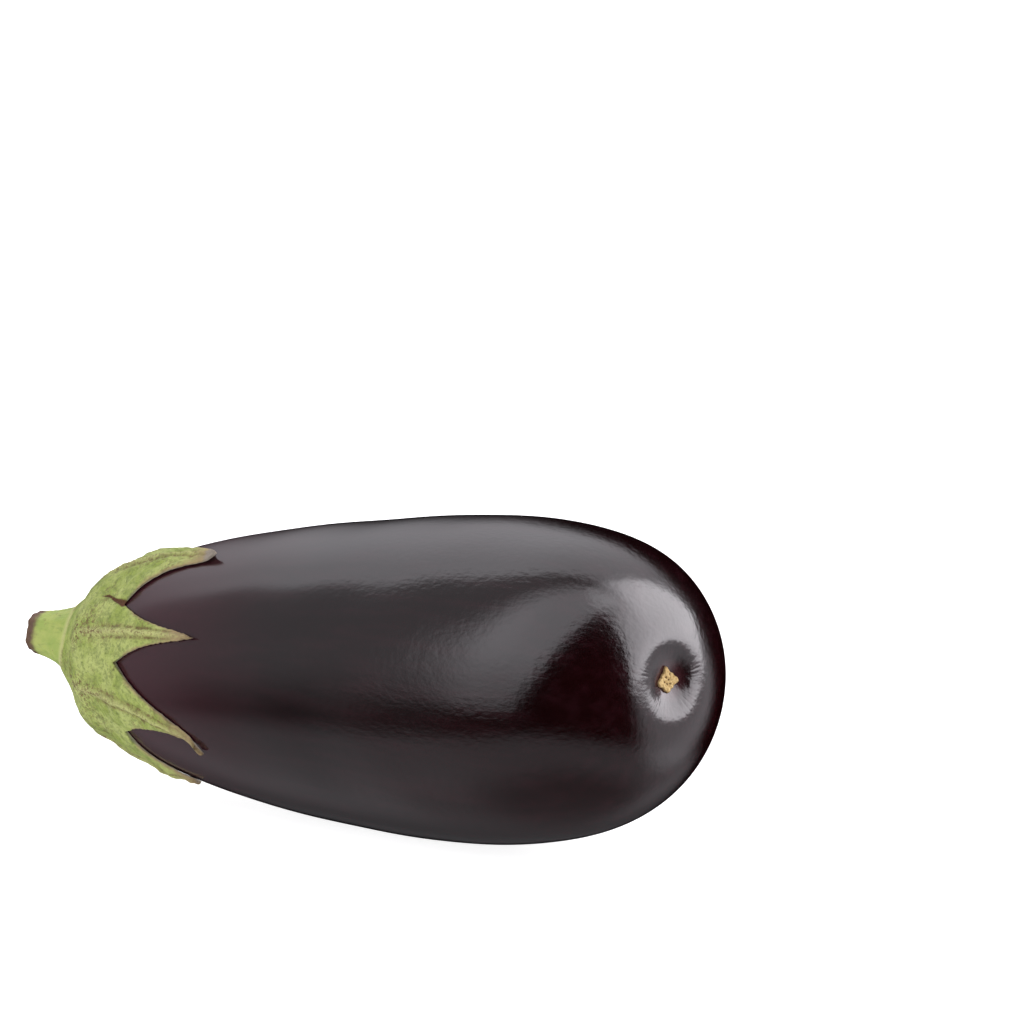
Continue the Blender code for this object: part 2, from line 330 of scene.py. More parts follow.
# %% Outline of a lobe
def lobe_grid(lobe):
    """Reach, angle, share and across (-1 to 1) on one lobe's grid. The width shrinks fast at
    first and then evenly, so the sides are hollow; the middle line leans over to the tip."""
    across = np.linspace(-1, 1, LOBE_COLUMNS + 1)
    middle = (lobe.root_from + lobe.root_to) / 2
    half = (lobe.root_to - lobe.root_from) / 2
    face = np.linspace(0, COLLAR_RADIUS, FACE_ROWS + 1)[:-1]
    flank = np.linspace(COLLAR_RADIUS, NOTCH_REACH, FLANK_ROWS + 1)
    root = np.append(face, flank)
    share = np.linspace(0, 1, LOBE_ROWS + 1)[1:]
    centre = middle + (lobe.tip - middle) * share**LEAN_POWER + lobe.hook * share**HOOK_POWER
    taper = TAPER_SHARE * (1 - share) ** TAPER_POWER + (1 - TAPER_SHARE) * (1 - share)
    blunt = np.sqrt(np.clip(1 - share**BLUNT_POWER, 0, 1) + BLUNT_END)
    width = half * taper + lobe.tip_width * share * blunt
    centres = np.concatenate([np.full(len(root), middle), centre])
    widths = np.concatenate([np.full(len(root), half), width])
    reaches = np.concatenate([root, NOTCH_REACH + (lobe.reach - NOTCH_REACH) * share])
    shares = np.concatenate([np.zeros(len(root)), share])
    angle = centres[:, None] + widths[:, None] * across
    grids = np.broadcast_arrays(reaches[:, None], angle, shares[:, None], across)
    return [np.array(grid) for grid in grids], centres[:, None]


def cap_lift(reach, angle, share):
    """Height of the cap's outer face over the skin: leaf thickness, and a bell-shaped
    swelling of the fleshy ring that is stronger on one side."""
    uneven = 1 + SHOULDER_SIDE_SHARE * np.cos(np.radians(angle - SHOULDER_SIDE_ANGLE))
    swell = np.exp(-(((reach - SHOULDER_SWELL_AT) / SHOULDER_SWELL_SPREAD) ** 2))
    leaf = ROOT_THICKNESS + (TIP_THICKNESS - ROOT_THICKNESS) * share
    return GAP + leaf + SHOULDER_SWELL * uneven * swell


def eased(t, start, leave, end, arrive):
    """A cubic curve from start to end that leaves and arrives with the given slopes."""
    out = (2 * t**3 - 3 * t**2 + 1) * start + (t**3 - 2 * t**2 + t) * leave
    return out + (3 * t**2 - 2 * t**3) * end + (t**3 - t**2) * arrive


def cap_base(reach, angle, share, extra):
    """The cap's outer face before it is roughened: a disc on the collar, then a cubic flare
    that lands on the skin's lifted shape at the shoulder, then that shape itself."""
    lying = skin(turn_at(reach), angle, cap_lift(reach, angle, share) + extra)
    short = SHOULDER_REACH - MM
    landing = skin(turn_at(SHOULDER_REACH), angle, cap_lift(SHOULDER_REACH, angle, 0) + extra)
    before = skin(turn_at(short), angle, cap_lift(short, angle, 0) + extra)
    rim = ring_on(collar_centre, collar_normal, COLLAR_RADIUS, angle)
    outward = (rim - collar_centre) / COLLAR_RADIUS
    span = SHOULDER_REACH - COLLAR_RADIUS
    t = np.clip((reach - COLLAR_RADIUS) / span, 0, 1)[..., None]
    leave = (outward - FLARE * collar_normal) * span * FLARE_PULL
    flare = eased(t, rim, leave, landing, (landing - before) / MM * span)
    disc = collar_centre + outward * np.minimum(reach, COLLAR_RADIUS)[..., None]
    on_skin = (reach >= SHOULDER_REACH)[..., None]
    return np.where((reach < COLLAR_RADIUS)[..., None], disc, np.where(on_skin, lying, flare))


# %% [markdown]
# ## What makes it a leaf
# The relief is added at right angles to the skin. It has a keel with a raised midrib on it and a
# groove along each flank of the rib, veins that branch from it, folds that run with the leaf, and
# a thin, ragged, slightly lifted edge. The split between the two upper lobes runs back towards
# the stem, as it does when the fruit swells faster than its cap. The tips curl up off the skin,
# and the broad one at the top has died and gone grey. A pair of values says between which two
# distances from the stem a mark comes up or fades; for the dead tip they are shares of the lobe.

# %% Relief of the cap
RIB_HEIGHT, RIB_WIDTH, RIB_FROM = 0.00075, 0.0008, (0.020, 0.030)
KEEL_HEIGHT, KEEL_FROM = 0.0008, (0.024, 0.048)
FLANK_OFFSET, FLANK_WIDTH, FLANK_DEPTH, FLANK_FROM = 0.0014, 0.0005, 0.00022, (0.028, 0.040)
WORN_WIDTH, WORN_FROM, WORN_TO = 0.0032, (0.015, 0.021), (0.032, 0.046)
VEIN_HEIGHT, VEIN_SPACING, VEIN_SLANT = 0.00010, 0.0052, 1.6
FOLDS = ((0.012, 0.00038, 11), (0.0050, 0.00020, 12), (0.0020, 0.00006, 13))
FOLDS_FROM = (0.010, 0.018)
EDGE_LIFT, EDGE_THIN, EDGE_RAGGED = 0.00015, 0.55, 0.20
SPLIT_ANGLE, SPLIT_FROM, SPLIT_LEAN, SPLIT_WOBBLE = 141.0, 0.0320, 8.0, 0.0003
SPLIT_WIDTH, SPLIT_DEPTH = 0.00050, 0.0014
LIP_HEIGHT, LIP_WIDTH = 0.00010, 0.0009
DEAD_WIDTH, DEAD_FROM = 3.0, (0.83, 0.90)


def cap_relief(points, reach, angle, share, across, centre):
    """Height to add to the outer face, and the fields that colour the leaf. Rib, flanks, worn
    patch and split are bell curves of the distance from their own middle lines; veins are a
    cubed cosine that slants back from the rib."""
    around = section(turn_at(reach))[1] * np.radians(angle - centre)
    shown = smooth(reach, *RIB_FROM)
    rib = np.exp(-((around / (RIB_WIDTH * (1.15 - 0.5 * share))) ** 2)) * shown
    off_flank = np.abs(around) / (1.15 - 0.6 * share) - FLANK_OFFSET
    flank = np.exp(-((off_flank / FLANK_WIDTH) ** 2)) * smooth(reach, *FLANK_FROM)
    worn = np.exp(-((around / WORN_WIDTH) ** 2)) * smooth(reach, *WORN_FROM)
    worn = worn * (1 - smooth(reach, *WORN_TO))
    slanted = (reach + VEIN_SLANT * np.abs(around)) / VEIN_SPACING
    veins = np.cos(2 * np.pi * slanted + 1.5 * ripple(points, 0.012, 14)) ** 3
    veins = veins * smooth(np.abs(around), 0.0008, 0.003) * (1 - smooth(np.abs(across), 0.6, 0.95))
    folds = ripples(points, FOLDS) * smooth(reach, *FOLDS_FROM)
    opening = np.clip((reach - SPLIT_FROM) / (NOTCH_REACH - SPLIT_FROM), 0, 1)
    split_angle = SPLIT_ANGLE - SPLIT_LEAN * (1 - opening)
    off_split = section(turn_at(reach))[1] * np.radians(angle - split_angle)
    off_split = off_split + SPLIT_WOBBLE * ripple(points, 0.005, 15) * (1 - opening)
    split = np.exp(-((off_split / (SPLIT_WIDTH * (0.6 + 1.9 * opening**2))) ** 2))
    split = split * smooth(reach, SPLIT_FROM - 0.0015, SPLIT_FROM)
    split = split * (1 - smooth(reach, NOTCH_REACH, NOTCH_REACH + 0.003))
    lip = np.exp(-(((reach - COLLAR_RADIUS) / LIP_WIDTH) ** 2))
    keel = KEEL_HEIGHT * (1 - np.abs(across)) * smooth(reach, *KEEL_FROM) * (1 - 0.6 * share)
    height = RIB_HEIGHT * rib * (1 - 0.6 * share) + VEIN_HEIGHT * veins * shown + keel
    height = height + folds + LIP_HEIGHT * lip - FLANK_DEPTH * flank
    height = height - SPLIT_DEPTH * split * (0.4 + 0.6 * opening)
    return height, {"rib": rib, "flank": flank, "worn": worn, "split": split}


def lobe_sheets(lobe):
    """Both faces of one lobe, and its fields. Along the strip the leaf's middle rises off the
    skin along a circle where it curls; the faces lie half a thickness on each side of it."""
    (reach, angle, share, across), centre = lobe_grid(lobe)
    curl = np.radians(lobe.curl)
    base = skin(turn_at(reach), angle)
    edge = np.abs(across) * smooth(share, 0.0, 0.15)
    ragged = ripple(base, 0.0016, 21) + 0.7 * ripple(base, 0.004, 22)
    angle = angle + EDGE_RAGGED * ragged * edge**6 * np.sign(across) * smooth(1 - share, 0.0, 0.1)
    relief, marks = cap_relief(base, reach, angle, share, across, centre)
    lift = EDGE_LIFT * edge**5 * (0.8 + 0.5 * ripple(base, 0.009, 23))
    thick = cap_lift(reach, angle, share) - GAP + relief
    thick = thick * (1 - EDGE_THIN * edge**8)
    start = lobe.reach - lobe.curl_length
    beyond = np.clip(reach - start, 0, None)
    turned = curl * beyond / lobe.curl_length * (0.85 + 0.25 * across)
    radius = lobe.curl_length / curl
    mid_reach = np.where(beyond > 0, start + radius * np.sin(turned), reach)
    mid_lift = GAP + lift + thick / 2 + radius * (1 - np.cos(turned))
    half = thick / 2
    outer_reach, outer_lift = mid_reach - half * np.sin(turned), mid_lift + half * np.cos(turned)
    inner_reach, inner_lift = mid_reach + half * np.sin(turned), mid_lift - half * np.cos(turned)
    outer = skin(turn_at(outer_reach), angle, outer_lift)
    root = cap_base(reach, angle, share, relief + lift)
    outer = np.where((share > 0)[..., None], outer, root)
    inner = skin(turn_at(inner_reach), angle, inner_lift)
    dead = smooth(share, *DEAD_FROM) * (lobe.tip_width > DEAD_WIDTH)
    fields = {"share": share, "edge": edge, "reach": reach, "dead": dead, **marks}
    return outer, inner, fields


# %% Build the cap
def lobe_faces(rows, columns, start):
    """Quads of the outer face, the inner face turned over, and the rim that joins them from
    the notch round the tip to the other notch."""
    count = rows * columns
    outer = quads(rows, columns, start, closed=False)
    inner = quads(rows, columns, start + count, closed=False)[:, ::-1]
    index = start + np.arange(count).reshape(rows, columns)
    notch = FACE_ROWS + FLANK_ROWS
    path = np.concatenate([index[notch:, 0], index[-1, 1:-1], index[notch:, -1][::-1]])
    rim = np.stack([path[:-1], path[1:], path[1:] + count, path[:-1] + count], axis=-1)
    return np.concatenate([outer, inner, rim])


points, faces, fields, start = [], [], {}, 0
for lobe in LOBES:
    outer, inner, found = lobe_sheets(lobe)
    rows, columns = outer.shape[:2]
    faces.append(lobe_faces(rows, columns, start))
    points += [outer.reshape(-1, 3), inner.reshape(-1, 3)]
    start += 2 * rows * columns
    for field, values in found.items():
        # a leaf's inner face, which lies on the fruit, has gone as grey as the dead tip
        inside = np.ones_like(values) if field == "dead" else values
        fields.setdefault(field, []).extend([values.ravel(), inside.ravel()])
cap = piece(
    "calyx_cap",
    np.concatenate(points),
    np.concatenate(faces),
    sharp=55,
    **{field: np.concatenate(values) for field, values in fields.items()},
)
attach(cap, "root")
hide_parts("calyx")

# %% [markdown]
# ## The stump of the stalk
# The stalk was cut with a knife and has dried since: its end is brown cork round a paler pith,
# sunk in the middle and with a torn edge. Its sides are faintly fluted. One profile carried
# round the stem makes foot, side, rim and cut face, so nothing has to be joined.

# %% Build the stem
STEM_LENGTH, STEM_CUT_RADIUS, STEM_WAIST = 0.0117, 0.0066, 0.06
STEM_COLUMNS, STEM_FOOT_ROWS, STEM_SIDE_ROWS, STEM_FACE_ROWS = 192, 6, 70, 34
FLUTE_COUNT, FLUTE_HEIGHT = 5, 0.00028
FOOT_SINK, FOOT_FLARE = 0.00035, 0.020
CUT_SINK = 0.0007
TORN = ((0.0016, 0.00007, 31), (0.005, 0.00022, 32))
GRAIN = ((0.0012, 0.00010, 33),)
ROUGH = ((0.0022, 0.00005, 34),)
RIM_HEIGHT, RIM_ROW, RIM_WIDTH = 0.00025, 2.06, 0.05


def stem_surface(row, angle):
    """Rows 0 to 1 cross the hidden foot, 1 to 2 climb the side from collar to cut, and 2 to 3
    cross the cut face inwards. The side blends two rings, drawn in a little by a sine."""
    climb = np.clip(row - 1, 0, 1)
    inwards = np.where(row < 1, row, np.where(row > 2, 3 - row, 1.0))
    direction = unit(STEM_DIRECTION)
    base = collar_centre - FOOT_SINK * collar_normal
    top = collar_centre + STEM_LENGTH * direction
    foot = ring_on(base, collar_normal, COLLAR_RADIUS * 0.985, angle) - base
    cut = ring_on(top, direction, STEM_CUT_RADIUS, angle) - top
    flutes = FLUTE_HEIGHT * np.cos(np.radians(FLUTE_COUNT * angle + 25 * climb + 40))
    flutes = flutes + 0.4 * FLUTE_HEIGHT * np.cos(np.radians(13 * angle - 15 * climb))
    swell = 1 - STEM_WAIST * np.sin(np.pi * climb)
    swell = swell + flutes / STEM_CUT_RADIUS * smooth(climb, 0, 0.3)
    swell = swell + FOOT_FLARE * np.exp(-climb / 0.06)
    across = (foot + (cut - foot) * climb[..., None]) * (swell * inwards)[..., None]
    centre = base + (top - base) * climb[..., None]
    points = centre + across
    cutting = smooth(row, 1.93, 2.0)
    sunk = -CUT_SINK * np.where(row > 2, 1 - inwards**3, 0.0)
    rim = RIM_HEIGHT * np.exp(-(((row - RIM_ROW) / RIM_WIDTH) ** 2))
    grain = ripples(points, GRAIN) * np.clip(row - 2, 0, 1)
    rough = ripples(points, ROUGH) * smooth(climb, 0.1, 0.3)
    along = ripples(points, TORN) * cutting + sunk + rim + grain
    swollen = across * (rough / STEM_CUT_RADIUS)[..., None]
    return points + swollen + direction * along[..., None]


rows = np.concatenate([
    np.linspace(0, 1, STEM_FOOT_ROWS, endpoint=False),
    1 + np.linspace(0, 1, STEM_SIDE_ROWS, endpoint=False),
    2 + np.linspace(0, 1, STEM_FACE_ROWS),
])[:, None]
angle = (np.arange(STEM_COLUMNS) * 360 / STEM_COLUMNS)[None, :]
row_grid, angle_grid = np.broadcast_arrays(rows, angle)
stem = piece(
    "stem_stump",
    stem_surface(row_grid, angle_grid),
    quads(len(rows), STEM_COLUMNS),
    row=row_grid,
)
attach(stem, "root")
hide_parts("stem")

# %% [markdown]
# ## The blossom scar
# Where the flower dropped off, the fruit closed the wound with cork: a small tan plug with four
# blunt corners and a few dark pits. It lies on the floor of the navel. A round disc would look
# like a sticker, so its outline and its top are both uneven.

# %% Build the scar
SCAR_RADIUS, SCAR_THICKNESS, SCAR_GAP = 0.0037, 0.0010, 0.0001
SCAR_COLUMNS, SCAR_ROWS = 128, 30
SCAR_CORNERS = ((96.0, 0.34, 14.0), (352.0, 0.34, 18.0), (262.0, 0.18, 20.0), (188.0, 0.40, 20.0))
SCAR_PITS = (
    (0.30, 118.0), (0.12, 20.0), (0.42, 190.0), (0.36, 300.0), (0.30, 245.0), (0.55, 60.0),
)
PIT_DEPTH, PIT_SIZE = 0.0005, 0.00036
CRUMBS = ((0.0011, 0.00014, 41), (0.0005, 0.00008, 42))


def scar_outline(angle):
    """Share of the scar's radius at this angle: a round three quarters, and a bell-shaped
    corner at each of four angles."""
    share = 0.74 + 0.02 * np.sin(np.radians(5 * angle)) + 0.02 * np.sin(np.radians(11 * angle))
    for at, height, spread in SCAR_CORNERS:
        off = (angle - at + 180) % 360 - 180
        share = share + height * np.exp(-((off / spread) ** 2))
    return share


def scar_surface(out, angle, top):
    """Points at share `out` of the outline, on the navel's floor or on top of the plug; the
    top is a dome with sunken pits and a crumbly edge."""
    radius = SCAR_RADIUS * scar_outline(angle) * out
    nose = np.linspace(np.pi - 0.3, np.pi, 400)
    turn = np.interp(-radius, -section(nose)[1], nose)
    x, y = radius * np.cos(np.radians(angle)), radius * np.sin(np.radians(angle))
    pits = 0.0
    for share, at in SCAR_PITS:
        px = SCAR_RADIUS * share * np.cos(np.radians(at))
        py = SCAR_RADIUS * share * np.sin(np.radians(at))
        pits = pits + np.exp(-((x - px) ** 2 + (y - py) ** 2) / PIT_SIZE**2)
    flat = np.stack([x, y, 0 * x], axis=-1)
    dome = SCAR_THICKNESS * (0.35 + 0.55 * np.sqrt(np.clip(1 - out**4, 0, 1)))
    pits = np.clip(pits, 0, 1)
    lift = np.where(top, dome + ripples(flat, CRUMBS) - PIT_DEPTH * pits, 0.0)
    return skin(turn, angle, SCAR_GAP + lift), pits * top


out = np.concatenate([np.linspace(0, 1, SCAR_ROWS), np.linspace(1, 0, SCAR_ROWS)])[:, None]
top = np.concatenate([np.zeros(SCAR_ROWS), np.ones(SCAR_ROWS)])[:, None] > 0.5
angle = (np.arange(SCAR_COLUMNS) * 360 / SCAR_COLUMNS)[None, :]
out, angle, top = np.broadcast_arrays(out, angle, top)
scar_points, pits = scar_surface(out, angle, top)
scar = piece("scar_cork", scar_points, quads(*out.shape), pits=pits, out=out)
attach(scar, "root")
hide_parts("blossom_scar")

# %% [markdown]
# ## Writing shader maths as Python
# A material is a graph of nodes. Wiring dozens of Math nodes by hand hides the formula, so a
# small class stands for the number that comes out of a socket: adding or multiplying two of
# them adds the Math node that does it. Every other kind of node comes from one method, which
# sets the node's own settings first and its sockets after them.


# %% The shader helpers
class Number:
    """A number that a shader works out at each point."""

    def __init__(self, graph, socket):
        self.graph, self.socket = graph, socket

    def math(self, operation, *values):
        """The number that a Math node works out from these values."""
        return self.graph.node("Math", dict(enumerate(values)), operation=operation)

    def __add__(self, other):
        return self.math("ADD", self, other)

    def __sub__(self, other):
        return self.math("SUBTRACT", self, other)

    def __mul__(self, other):
        return self.math("MULTIPLY", self, other)

    def __rsub__(self, other):
        return self.math("SUBTRACT", other, self)

    __radd__, __rmul__ = __add__, __mul__

    def step(self, low, high):
        """0 below `low`, 1 above `high` and smooth between them."""
        sockets = {"Value": self, "From Min": low, "From Max": high}
        return self.graph.node("MapRange", sockets, interpolation_type="SMOOTHSTEP")


class Graph:
    """A node tree, emptied, to which nodes are added one by one."""

    def __init__(self, tree):
        self.tree = tree
        tree.nodes.clear()

    def node(self, kind, sockets=(), out=0, **settings):
        """Adds a node: first its own settings, then its sockets' values or links."""
        made = self.tree.nodes.new("ShaderNode" + kind)
        for setting, value in settings.items():
            setattr(made, setting, value)
        for socket, value in dict(sockets).items():
            if isinstance(value, Number):
                self.tree.links.new(value.socket, made.inputs[socket])
            else:
                made.inputs[socket].default_value = value
        return Number(self, made.outputs[out]) if made.outputs else None

    def field(self, name):
        """A number that was stored on the points of the mesh."""
        return self.node("Attribute", attribute_name=name, out="Fac")

    def noise(self, size, detail=2.0, roughness=0.5, stretch=(1, 1, 1), shift=0.0):
        """Cloudy noise whose blotches are about `size` metres across. A stretch below 1 draws
        them out along that axis; a shift gives other blotches of the same kind."""
        where = self.node("TexCoord", out="Object")
        where = self.node("VectorMath", {0: where, 1: stretch}, operation="MULTIPLY")
        where = self.node("VectorMath", {0: where, 1: (shift,) * 3}, operation="ADD")
        sockets = {"Vector": where, "Scale": 1 / size, "Detail": detail, "Roughness": roughness}
        return self.node("TexNoise", sockets, out="Fac")

    def mix(self, share, one, other):
        """From colour `one` to colour `other` as the share goes from 0 to 1."""
        one, other = (c if isinstance(c, Number) else (*c, 1) for c in (one, other))
        return self.node("Mix", {0: share, 6: one, 7: other}, out=2, data_type="RGBA")

    def bump(self, height, distance):
        """A normal tilted by the height, which is counted in steps of `distance` metres."""
        return self.node("Bump", {"Height": height, "Distance": distance, "Strength": 1.0})


def finish_of(made, name, paint):
    """Gives a piece a material whose Principled sockets are what `paint` returns."""
    material = bpy.data.materials.new(name)
    material.use_nodes = True
    graph = Graph(material.node_tree)
    shader = graph.node("BsdfPrincipled", paint(graph))
    graph.node("OutputMaterial", {"Surface": shader})
    made.data.materials.append(material)
    print(f"{name}: {len(graph.tree.nodes)} nodes")


# %% [markdown]
# ## The fruit's finish
# Ripe aubergine skin is almost black: what is seen is mostly its gloss. The colour under it is
# a dark wine red, more violet and duller near the cap, where the skin is youngest. Gloss comes
# in two layers, as in life: a slightly hazy skin, and over it a thin wax coat that mirrors more
# sharply and thins out towards the cap. A peel-like bump finer than the mesh, strongest on the
# blossom half, breaks up the edges of the reflections.

# %% Finish the fruit
WINE, NIGHT = (0.0056, 0.0003, 0.0006), (0.0036, 0.0002, 0.0004)
VIOLET, HOLLOW = (0.0380, 0.0080, 0.0130), (0.0300, 0.0090, 0.0110)
SKIN_ROUGHNESS, NECK_ROUGHNESS, HAZE_ROUGHNESS = 0.165, 0.07, 0.035
COAT, COAT_LOSS, COAT_ROUGHNESS = 0.36, 0.35, 0.09
PEEL_HEIGHT = 0.00009


def fruit_paint(graph):
    """Night and wine blotches go over to violet at the neck and in the navel. One ramp, 1 at the
    cap and 0 a good way down, dulls the skin and takes the coat away."""
    reach, navel = graph.field("reach"), graph.field("navel")
    neck = 1 - reach.step(0.030, 0.120)
    streaks = graph.noise(0.0032, 3, 0.6, stretch=(0.07, 1, 1)).step(0.42, 0.72)
    colour = graph.mix(graph.noise(0.055, 3).step(0.36, 0.64), NIGHT, WINE)
    colour = graph.mix(neck * 0.75, colour, VIOLET)
    colour = graph.mix(streaks * 0.12, colour, VIOLET)
    colour = graph.mix((1 - navel.step(0.0036, 0.0068)) * 0.7, colour, HOLLOW)
    haze = graph.noise(0.012, 4, 0.6)
    roughness = SKIN_ROUGHNESS + neck * NECK_ROUGHNESS + haze * HAZE_ROUGHNESS
    peel = graph.noise(0.0013, 2, 0.55, stretch=(0.6, 1, 1)) + graph.noise(0.0042, 2) * 0.8
    return {
        "Base Color": colour,
        "Roughness": roughness,
        "Normal": graph.bump(peel * (0.2 + reach.step(0.090, 0.170) * 0.8), PEEL_HEIGHT),
        "Coat Weight": COAT - neck * COAT_LOSS,
        "Coat Roughness": COAT_ROUGHNESS,
    }


finish_of(fruit, "aubergine_skin", fruit_paint)

# %% [markdown]
# ## The cap's finish
# The leaf is a dry, slightly downy yellow-green, mottled with darker green, and round the collar
# it takes the stalk's fresher green. Brown flecks gather on the worn shoulders and along the
# midribs. A pale line painted along each midrib is its highlight, and painted shade in brown
# lies in the grooves beside it; edges and tips have dried to straw, and the split is brown cork.
# The fields that were stored while the cap was built say where each of these goes.

# %% Finish the cap
STALK, STALK_YELLOW = (0.225, 0.300, 0.055), (0.290, 0.335, 0.075)
LEAF, LEAF_PALE, LEAF_DARK = (0.222, 0.278, 0.053), (0.320, 0.362, 0.108), (0.085, 0.118, 0.025)
RIB_PALE = (0.380, 0.385, 0.150)
STRAW, STRAW_GREY = (0.262, 0.196, 0.096), (0.230, 0.200, 0.165)
# the brown below is rust in the flecks and painted shade in the grooves beside the midribs
RUST_AND_SHADE, CORK = (0.115, 0.062, 0.026), (0.085, 0.034, 0.012)
LEAF_GRAIN = 0.00030


def cap_paint(graph):
    """Greens first, from the stalk's to the leaf's; then dark mottle, a painted highlight on the
    ribs, painted shade beside them, rust, straw, grey and cork, each laid over the last by its
    own field, broken up by noise."""
    share, edge, rib = graph.field("share"), graph.field("edge"), graph.field("rib")
    split, reach, dead = graph.field("split"), graph.field("reach"), graph.field("dead")
    flank, worn = graph.field("flank"), graph.field("worn")
    collar = 1 - reach.step(0.0105, 0.0210)
    ridge = 1 - reach.step(0.0106, 0.0122)
    ragged = graph.noise(0.0015, 4, 0.65)
    colour = graph.mix(graph.noise(0.009, 4, 0.6).step(0.38, 0.62), LEAF, LEAF_PALE)
    stalk = graph.mix(graph.noise(0.005, 3, 0.6).step(0.35, 0.65), STALK, STALK_YELLOW)
    colour = graph.mix(collar, colour, stalk)
    mottle = graph.noise(0.0036, 5, 0.75, shift=0.3).step(0.50, 0.62)
    colour = graph.mix(mottle * 0.40, colour, LEAF_DARK)
    net = graph.noise(0.0013, 4, 0.7, shift=0.6).step(0.52, 0.62)
    colour = graph.mix(net * 0.34, colour, LEAF_DARK)
    colour = graph.mix(ridge * 0.9, colour, RIB_PALE)
    # painted highlight: a pale line along the raised midribs
    colour = graph.mix(rib * 0.75, colour, RIB_PALE)
    # painted shade: brown in the grooves beside each midrib, broken up by noise
    colour = graph.mix(flank * (0.22 + ragged.step(0.42, 0.58) * 0.6), colour, RUST_AND_SHADE)
    fleck = graph.noise(0.0010, 3, 0.7, shift=0.7).step(0.50, 0.60)
    patch = graph.noise(0.010, 2, 0.5, shift=0.5).step(0.52, 0.62)
    colour = graph.mix(fleck * (patch * 0.55 + worn * 0.8), colour, RUST_AND_SHADE)
    rib_fleck = graph.noise(0.0009, 3, 0.7, shift=0.9).step(0.54, 0.60) * rib
    colour = graph.mix(rib_fleck * 0.7, colour, RUST_AND_SHADE)
    dry = (edge + ragged * 0.30).step(0.98, 1.18)
    colour = graph.mix(dry * 0.8, colour, STRAW)
    tip = (share + edge * 0.15 + ragged * 0.35).step(0.72, 1.14)
    colour = graph.mix(tip * 0.92, colour, STRAW)
    burnt = (share + ragged * 0.5).step(1.12, 1.30)
    colour = graph.mix(burnt * 0.6, colour, RUST_AND_SHADE)
    colour = graph.mix(dead * 0.9, colour, STRAW_GREY)
    colour = graph.mix((split + ragged * 0.3).step(0.35, 0.75), colour, CORK)
    grain = graph.noise(0.0007, 3, 0.6) + graph.noise(0.0024, 4, 0.65, shift=0.2) * 2.0 - net * 0.4
    return {
        "Base Color": colour,
        "Roughness": 0.52 + ragged * 0.12,
        "Specular IOR Level": 0.3,
        "Normal": graph.bump(grain, LEAF_GRAIN),
    }


finish_of(cap, "calyx_leaf", cap_paint)

# %% [markdown]
# ## The stem's finish
# The side is the brightest green of the plant, with faint fibres along it and a pale line where
# it leaves the cap. The cut end has gone brown, darkest on its rim, round a paler pith.

# %% Finish the stem
STALK_DARK, BARK = (0.130, 0.195, 0.040), (0.085, 0.042, 0.020)
PITH, WOOD = (0.300, 0.230, 0.120), (0.190, 0.125, 0.060)
STALK_GRAIN = 0.00012


def stem_paint(graph):
    """The row, blurred by noise, says where green ends and bark begins and where the cut face
    with its pith starts."""
    row = graph.field("row")
    fibres = graph.noise(0.0011, 4, 0.65, stretch=(0.18, 1, 1))
    colour = graph.mix(graph.noise(0.005, 3, 0.6).step(0.35, 0.65), STALK, STALK_YELLOW)
    colour = graph.mix(fibres.step(0.52, 0.75) * 0.5, colour, STALK_DARK)
    colour = graph.mix(graph.noise(0.0016, 3, 0.7, shift=0.4).step(0.62, 0.72) * 0.5, colour, RUST_AND_SHADE)
    colour = graph.mix((1 - row.step(1.00, 1.12)) * 0.9, colour, RIB_PALE)
    worn = row + graph.noise(0.0022, 4, 0.6, shift=0.1) * 0.22
    colour = graph.mix(worn.step(1.84, 2.02), colour, BARK)
    face = graph.mix(row.step(2.55, 2.8), WOOD, PITH)
    face = graph.mix(graph.noise(0.0008, 4, 0.7, shift=0.6).step(0.4, 0.7) * 0.6, face, BARK)
    colour = graph.mix(worn.step(2.22, 2.42), colour, face)
    grain = fibres * 1.3 + graph.noise(0.0006, 3, 0.6)
    return {
        "Base Color": colour,
        "Roughness": 0.5 + row.step(1.9, 2.05) * 0.3,
        "Normal": graph.bump(grain, STALK_GRAIN),
    }


finish_of(stem, "stem_green", stem_paint)

# %% [markdown]
# ## The scar's finish
# Cork is matt and grainy. Its pits and its rim are painted dark brown.

# %% Finish the scar
TAN, TAN_PALE, PIT_BROWN = (0.275, 0.180, 0.073), (0.410, 0.305, 0.145), (0.070, 0.034, 0.013)
CORK_GRAIN = 0.00020


def scar_paint(graph):
    """Two tans mixed by a grain, which also makes the bump; pits and rim are darkened."""
    pits, out = graph.field("pits"), graph.field("out")
    grain = graph.noise(0.0007, 4, 0.7)
    colour = graph.mix(grain.step(0.35, 0.65), TAN, TAN_PALE)
    colour = graph.mix(pits.step(0.2, 0.8) * 0.9, colour, PIT_BROWN)
    colour = graph.mix((out + grain * 0.15).step(0.98, 1.10) * 0.7, colour, PIT_BROWN)
    return {
        "Base Color": colour,
        "Roughness": 0.9,
        "Specular IOR Level": 0.15,
        "Normal": graph.bump(grain, CORK_GRAIN),
    }


finish_of(scar, "scar_cork", scar_paint)

# %% [markdown]
# ## Floor
# The set is a plain pale sheet that curves up far behind, so no horizon shows. Black gloss
# mirrors everything round it, the sheet as well, and a studio would hide that with cards. Here
# the sheet is left out of mirror reflections, and the light below stands in for it. The sheet
# glows by itself too, like a table lit from below, so that shadows on it stay faint.

# %% Build the floor
SHEET_FLAT, SHEET_RADIUS, SHEET_CLIMB = 2.6, 1.4, 75.0
SHEET_ROWS, SHEET_COLUMNS = 33, 72
SHEET_GREY, SHEET_WHITE, SHEET_GLOW = (0.54, 0.54, 0.54), (0.56, 0.56, 0.56), 1.6


